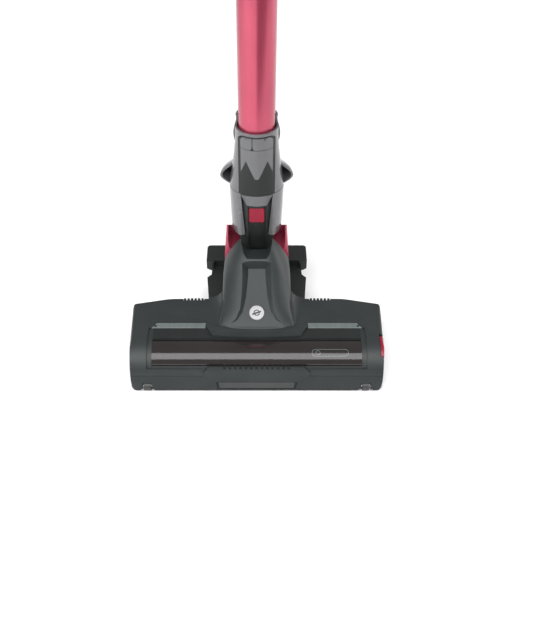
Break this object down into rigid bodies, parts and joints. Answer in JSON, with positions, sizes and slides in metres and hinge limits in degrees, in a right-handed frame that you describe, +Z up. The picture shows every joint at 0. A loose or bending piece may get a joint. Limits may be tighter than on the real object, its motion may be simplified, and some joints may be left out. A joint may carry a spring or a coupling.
{
  "type": "powered vacuum floor head with wand",
  "caption": "Floor head of a stick vacuum cleaner with a powered brush roll behind a smoked window, a tilting and swivelling neck and a straight wand with a socket at its top.",
  "frame": {"origin": "on the floor, under the middle of the head's length and depth", "axes": "+X to the head's right end seen from the front, front towards -Y, +Z up along the upright wand"},
  "size_m": [0.2556, 0.1766, 0.715],
  "materials": {
    "shell": "fine matte texture",
    "dark_shell": "matte",
    "inner_plastic": "satin",
    "smoked_window": "smoked transparent plastic",
    "light_lens": "milky",
    "circuit_board": "solder resist",
    "soft_rubber": "soft",
    "tyre_rubber": "soft",
    "badge_metal": "satin",
    "steel": "turned",
    "bush_bronze": "turned",
    "motor_can": "plated",
    "brush_body": "satin",
    "bristle": "nylon bristle",
    "wheel_plastic": "matte",
    "red_button": "gloss",
    "yoke_pink": "gloss",
    "neck_gloss": "gloss",
    "neck_dark": "gloss",
    "wand_pink": "satin anodised"
  },
  "bodies": {
    "head": {"badge": "badge_metal", "bearing_bushes": "bush_bronze", "bearing_plates": "inner_plastic", "brush_chamber": "inner_plastic", "bumper_strip": "soft_rubber", "control_board": "circuit_board", "drive_belt": "soft_rubber", "front_panel": "shell", "hinge_pins": "steel", "light_boards": "circuit_board", "light_strip_left": "light_lens", "light_strip_right": "light_lens", "lower_housing": "shell", "motor_can": "motor_can", "rear_arm_left": "dark_shell", "rear_arm_right": "dark_shell", "rear_duct": "inner_plastic", "rear_grip_left": "dark_shell", "rear_grip_right": "dark_shell", "rear_squeegee": "soft_rubber", "roller_axles": "steel", "sole_plate": "dark_shell", "sole_screws": "steel", "suction_duct": "inner_plastic", "upper_housing": "shell", "wheel_axles": "steel", "window": "smoked_window", "window_surround": "dark_shell"},
    "wheel_left": {"wheel_left": "wheel_plastic", "tyre_left": "tyre_rubber"},
    "wheel_right": {"wheel_right": "wheel_plastic", "tyre_right": "tyre_rubber"},
    "roller_left": {"front_roller_left": "wheel_plastic"},
    "roller_right": {"front_roller_right": "wheel_plastic"},
    "brush_roll": {"brush_core": "brush_body", "bristle_rows": "bristle", "brush_pulley": "brush_body"},
    "motor_rotor": {"motor_shaft": "steel", "motor_pulley": "steel"},
    "end_catch": {"end_latch": "red_button"},
    "yoke": {"yoke": "yoke_pink", "roll_pin": "steel"},
    "neck": {"swivel_barrel": "inner_plastic", "neck_shell": "neck_gloss", "neck_core": "inner_plastic", "spine_strip": "neck_dark", "chevron_lip": "neck_gloss", "button_spring": "steel", "collar_front": "neck_gloss", "collar_panel": "neck_dark", "collar_rear": "neck_gloss", "wand_tube": "wand_pink", "wand_sleeve": "inner_plastic", "wand_seal": "soft_rubber", "wand_conductor": "bush_bronze", "wand_socket": "neck_dark", "contact_block": "inner_plastic", "contact_pins": "bush_bronze"},
    "release": {"release_button": "red_button"},
    "socket_button": {"socket_catch": "neck_dark"}
  },
  "joints": [
    {"name": "pitch", "type": "hinge", "parent": "head", "child": "yoke", "pos_m": [0, 0.074, 0.033], "axis": [-1, 0, 0], "range_deg": [0, 80]},
    {"name": "roll", "type": "hinge", "parent": "yoke", "child": "neck", "pos_m": [0, 0.06, 0.09], "axis": [0, 1, 0], "range_deg": [-15, 15]},
    {"name": "brush_spin", "type": "hinge", "parent": "head", "child": "brush_roll", "pos_m": [0, -0.058, 0.018], "axis": [1, 0, 0], "continuous": true},
    {"name": "motor_spin", "type": "hinge", "parent": "head", "child": "motor_rotor", "pos_m": [-0.07, -0.012, 0.0215], "axis": [1, 0, 0], "continuous": true},
    {"name": "wheel_left_spin", "type": "hinge", "parent": "head", "child": "wheel_left", "pos_m": [-0.0425, 0.066, 0.0095], "axis": [1, 0, 0], "continuous": true},
    {"name": "wheel_right_spin", "type": "hinge", "parent": "head", "child": "wheel_right", "pos_m": [0.0425, 0.066, 0.0095], "axis": [1, 0, 0], "continuous": true},
    {"name": "roller_left_spin", "type": "hinge", "parent": "head", "child": "roller_left", "pos_m": [-0.1072, -0.082, 0.005], "axis": [1, 0, 0], "continuous": true},
    {"name": "roller_right_spin", "type": "hinge", "parent": "head", "child": "roller_right", "pos_m": [0.1072, -0.082, 0.005], "axis": [1, 0, 0], "continuous": true},
    {"name": "end_latch_slide", "type": "slide", "parent": "head", "child": "end_catch", "axis": [0, 1, 0], "range_m": [0, 0.004], "stiffness_N_per_m": 400, "springref_m": -0.002},
    {"name": "release_press", "type": "slide", "parent": "neck", "child": "release", "axis": [0, 1, 0], "range_m": [0, 0.0025], "stiffness_N_per_m": 600, "springref_m": -0.003},
    {"name": "socket_press", "type": "slide", "parent": "neck", "child": "socket_button", "axis": [0, 1, 0], "range_m": [0, 0.003], "stiffness_N_per_m": 600, "springref_m": -0.003}
  ],
  "couplings": [
    {"joint": "motor_spin", "follows": "brush_spin", "ratio": 1.5}
  ]
}
